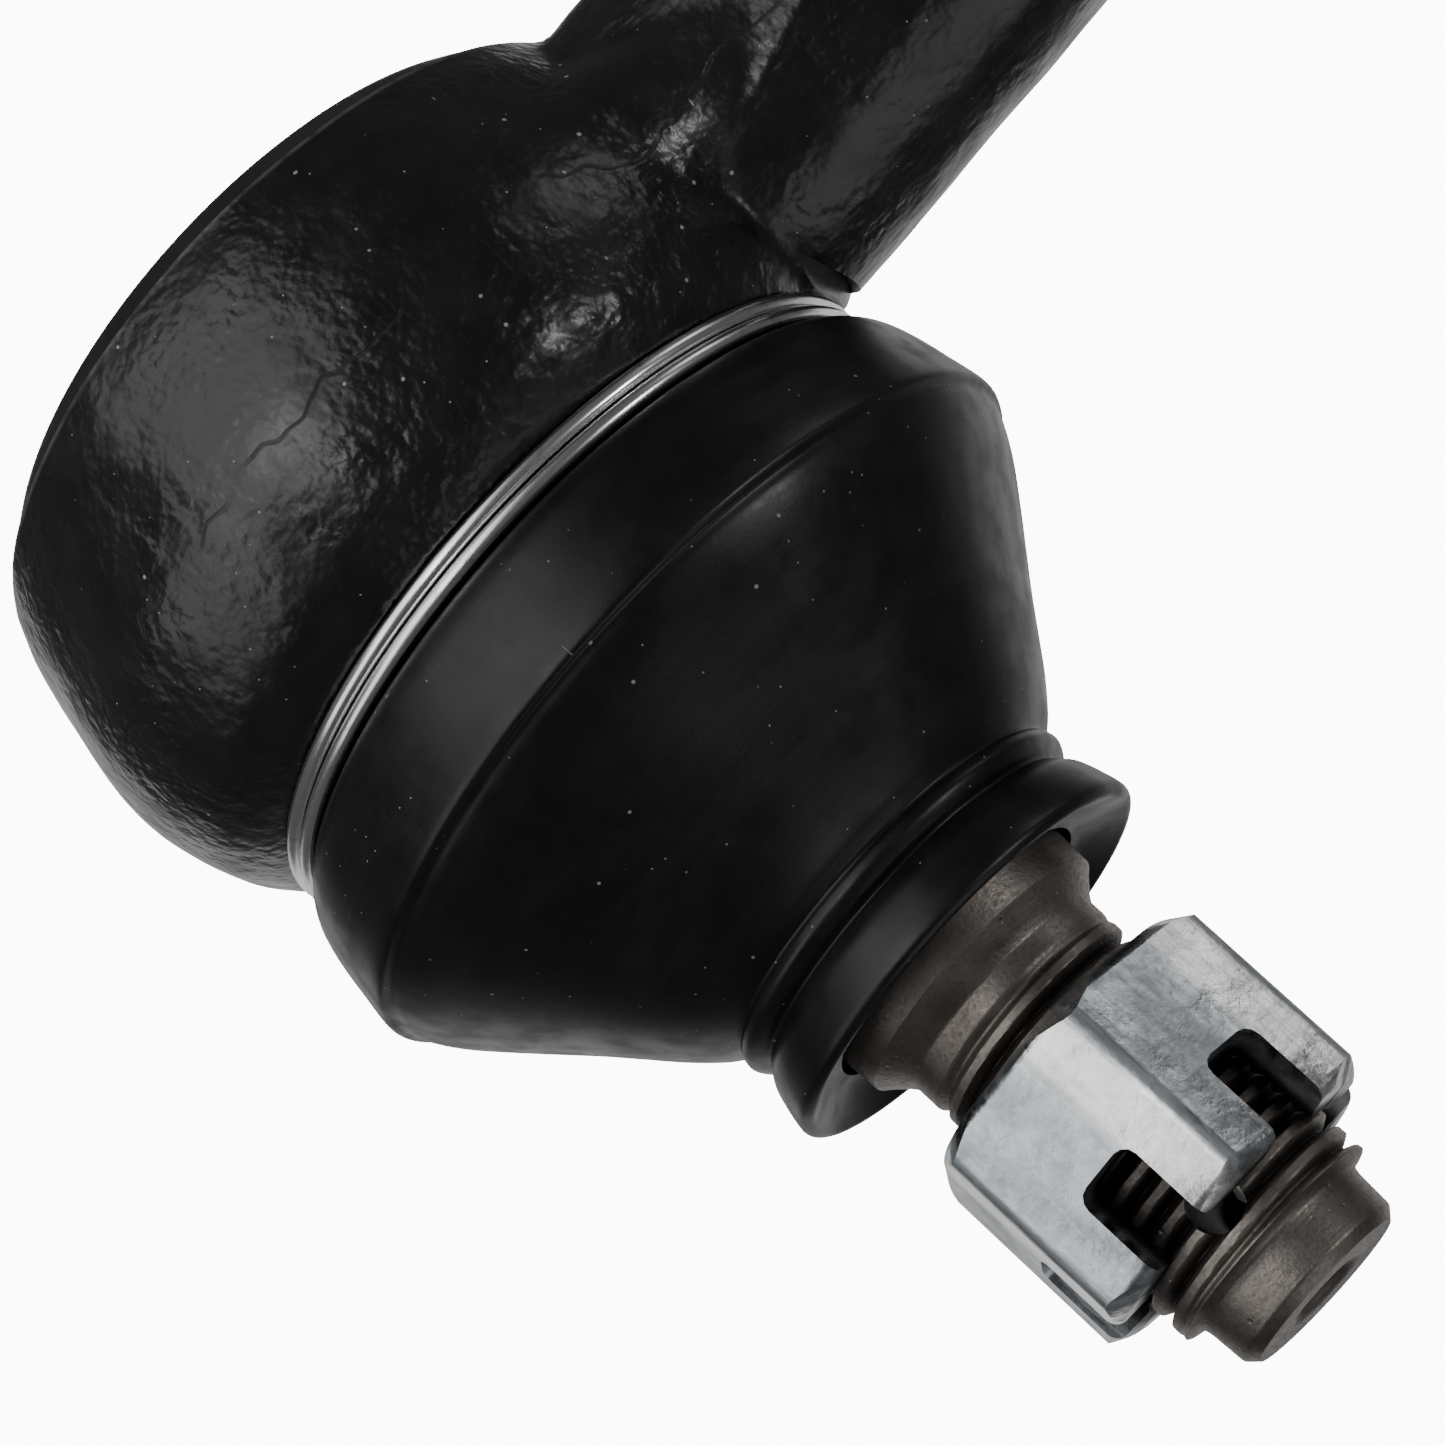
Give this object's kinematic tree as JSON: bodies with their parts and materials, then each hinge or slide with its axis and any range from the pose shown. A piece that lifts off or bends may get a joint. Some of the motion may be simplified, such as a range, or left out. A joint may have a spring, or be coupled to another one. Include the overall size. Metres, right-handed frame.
{
  "type": "tie rod end",
  "caption": "Steering tie rod end: forged black housing with a threaded shank, greased ball stud, rubber dust boot, wire clamp and slotted hexagon nut.",
  "frame": {"origin": "middle of the end cover's flat outer face, on the ball stud's axis", "axes": "+Z along the ball stud towards its threaded end, +X along the shank towards its threaded end"},
  "size_m": [0.1311, 0.0522, 0.0816],
  "materials": {
    "painted_forging": "glossy black paint over an as-forged skin",
    "painted_cover": "glossy black paint",
    "stud_steel": "dull turned steel with dark heat tint",
    "zinc_nut": "bright zinc plate, mottled",
    "zinc_wire": "bright zinc-plated wire",
    "spring_steel": "oiled spring steel",
    "plain_steel": "plain stamped steel",
    "boot_rubber": "satin black moulded rubber",
    "seal_rubber": "black rubber",
    "acetal": "natural acetal"
  },
  "bodies": {
    "frame": {"housing": "painted_forging", "end_cover": "painted_cover", "cover_seal": "seal_rubber", "preload_spring": "spring_steel", "spring_plate": "plain_steel", "lower_seat": "acetal", "boot_clamp_ring": "zinc_wire"},
    "swing_body": {"upper_seat": "acetal"},
    "tilt_body": {"dust_boot": "boot_rubber", "boot_support_ring": "plain_steel"},
    "stud_body": {"ball_stud": "stud_steel"},
    "nut_body": {"slotted_nut": "zinc_nut"}
  },
  "joints": [
    {"name": "stud_swing", "type": "hinge", "parent": "frame", "child": "swing_body", "pos_m": [0, 0, 0.016], "axis": [0, 0, 1], "continuous": true},
    {"name": "stud_tilt", "type": "hinge", "parent": "swing_body", "child": "tilt_body", "pos_m": [0, 0, 0.016], "axis": [0, 1, 0], "range_deg": [-22, 22], "deforming": ["dust_boot"]},
    {"name": "stud_spin", "type": "hinge", "parent": "tilt_body", "child": "stud_body", "pos_m": [0, 0, 0.016], "axis": [0, 0, 1], "continuous": true},
    {"name": "nut_turn", "type": "hinge", "parent": "stud_body", "child": "nut_body", "pos_m": [0, 0, 0.0687], "axis": [0, 0, 1], "continuous": true}
  ]
}
